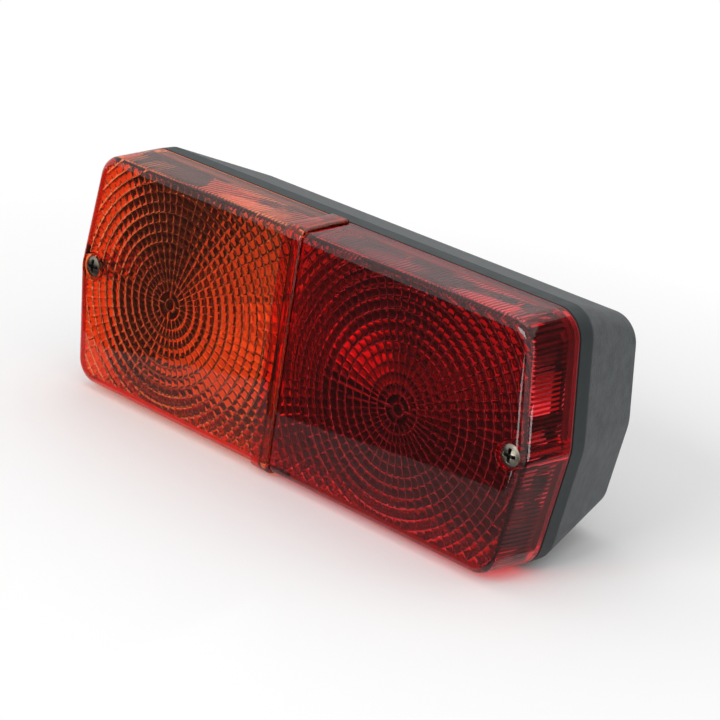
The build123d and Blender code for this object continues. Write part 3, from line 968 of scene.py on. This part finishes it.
# corners of an upright card: two ends on the floor, and the same two at its top
def uprightCorners(ends, top):
    return [(*place, z) for place, z in zip(ends + ends[::-1], (stage["floor"], stage["floor"], top, top))]


# dull cloth of one grey
def flagCloth(name, tone):
    cloth, _, shader = newMaterial(name + "Cloth", Roughness=1.0, Specular_IOR_Level=0.0)
    shader.inputs["Base Color"].default_value = (tone, tone, tone, 1)
    return cloth


# one for a ray of the camera, of gloss or of glass, and nought for the rays that light the scene
def seenRay(tree):
    path = addNode(tree, "ShaderNodeLightPath")
    kinds = ("Is Camera Ray", "Is Glossy Ray", "Is Transmission Ray")
    return largest(tree, [path.outputs[kind] for kind in kinds])


# a pale floor that turns white to the eye away from the lamp
def makeFloor(s):
    pale, tree, shader = newMaterial("paleFloor", Roughness=0.9, Specular_IOR_Level=0.1)
    shader.inputs["Base Color"].default_value = (*s["colour"], 1)
    where = addNode(tree, "ShaderNodeTexCoord")
    far = addNode(tree, "ShaderNodeVectorMath", operation="LENGTH")
    tree.links.new(where.outputs["Object"], far.inputs[0])
    away = spread(tree, far.outputs["Value"], 0.0, 1.0, s["whiteFrom"], s["whiteTo"])
    mixSurface(tree, product(tree, away, seenRay(tree)), shader, addNode(tree, "ShaderNodeEmission"))
    half = s["size"] / 2
    signs = ((-1, -1), (1, -1), (1, 1), (-1, 1))
    flatCard("floor", [(x * half, y * half, s["floor"]) for x, y in signs], pale)


# what the lenses mirror: grey cloths flat just above the floor, upright ones behind and at the right end,
# and two strips that glow on their front; all show in gloss, and two of the cloths through glass too
def makeReflections(s):
    cards = []
    for name, flag in s["backFlags"].items():
        corners = uprightCorners(flag["ends"], s["flagTop"])
        cards.append(flatCard(name, corners, flagCloth(name, flag["tone"])))
    for name, flag in s["flatFlags"].items():
        corners = [(*place, s["floor"] + flag["lift"]) for place in flag["corners"]]
        cards.append(flatCard(name, corners, flagCloth(name, flag["tone"])))
    bright, tree, shader = newMaterial("stripGlow", Roughness=1.0, Emission_Strength=s["stripGlow"])
    front = addNode(tree, "ShaderNodeNewGeometry")
    tree.links.new(spread(tree, front.outputs["Backfacing"], 1.0, 0.0), shader.inputs["Emission Color"])
    for name, ends in s["strips"].items():
        cards.append(flatCard(name, uprightCorners(ends, s["stripTop"]), bright))
    for card in cards:
        card.visible_camera = card.visible_diffuse = card.visible_shadow = False
        card.visible_transmission = card.name in s["seenInGlass"]


makeFloor(stage)
makeReflections(stage)
print("stage ready")

# each lamp has its place, size and power
light = dict(
    world=0.72,
    lamps=dict(softTop=((-0.2, 0.3, 2.0), 1.5, 6.0), softKey=((0.0, -1.0, 0.5), 0.5, 5.5)),
)


# white surroundings, full strength to the eye and in gloss and glass, lower as a source; soft square lamps
# aimed at the middle of the stage
def makeLight(look):
    world = bpy.data.worlds.new("studio")
    scene.world = world
    world.use_nodes = True
    tree = world.node_tree
    back = tree.nodes["Background"]
    back.inputs["Color"].default_value = (1, 1, 1, 1)
    tree.links.new(spread(tree, seenRay(tree), look["world"], 1.0), back.inputs["Strength"])
    for name, (place, size, power) in look["lamps"].items():
        data = bpy.data.lights.new(name, "AREA")
        data.shape, data.size, data.energy = "SQUARE", size, power
        obj = bpy.data.objects.new(name, data)
        obj.location, obj.visible_transmission = place, False
        obj.rotation_euler = Vector(place).to_track_quat("Z", "Y").to_euler()
        scene.collection.objects.link(obj)


makeLight(light)

# angles in degrees, distance and target in metres, focal length and centre in pixels of the square image
view = dict(azimuth=39.30, elevation=18.985, roll=9.18, distance=0.67963, focal=2299.1, centre=(361.7, 368.1),
            target=(0.01388, -0.0436, -0.0026), image=720.0, clip=(0.01, 20.0))


# the camera stands back from the target along azimuth and elevation, rolled, and turned to put the optical
# axis on the picture's centre
def makeCamera(v):
    az, el, roll = (math.radians(v[k]) for k in ("azimuth", "elevation", "roll"))
    back = np.array([math.sin(az) * math.cos(el), -math.cos(az) * math.cos(el), math.sin(el)])
    right = np.array([math.cos(az), math.sin(az), 0.0])
    up = np.cross(back, right)
    eye = np.array(v["target"]) + back * v["distance"]
    across = math.cos(roll) * right + math.sin(roll) * up
    upward = -math.sin(roll) * right + math.cos(roll) * up
    offX, offY = (v["image"] / 2 - place for place in v["centre"])
    ahead = -back + across * offX / v["focal"] - upward * offY / v["focal"]
    ahead /= np.linalg.norm(ahead)
    across -= ahead * (across @ ahead)
    across /= np.linalg.norm(across)
    upward = np.cross(across, ahead)
    data = bpy.data.cameras.new("camera")
    data.lens = v["focal"] / v["image"] * data.sensor_width
    data.clip_start, data.clip_end = v["clip"]
    camera = bpy.data.objects.new("camera", data)
    scene.collection.objects.link(camera)
    matrix = np.eye(4)
    matrix[:3, 0], matrix[:3, 1], matrix[:3, 2], matrix[:3, 3] = across, upward, -ahead, eye
    camera.matrix_world = Matrix(matrix.tolist())
    scene.camera = camera


makeCamera(view)
scene.view_settings.view_transform = "Standard"
print("camera and light ready")
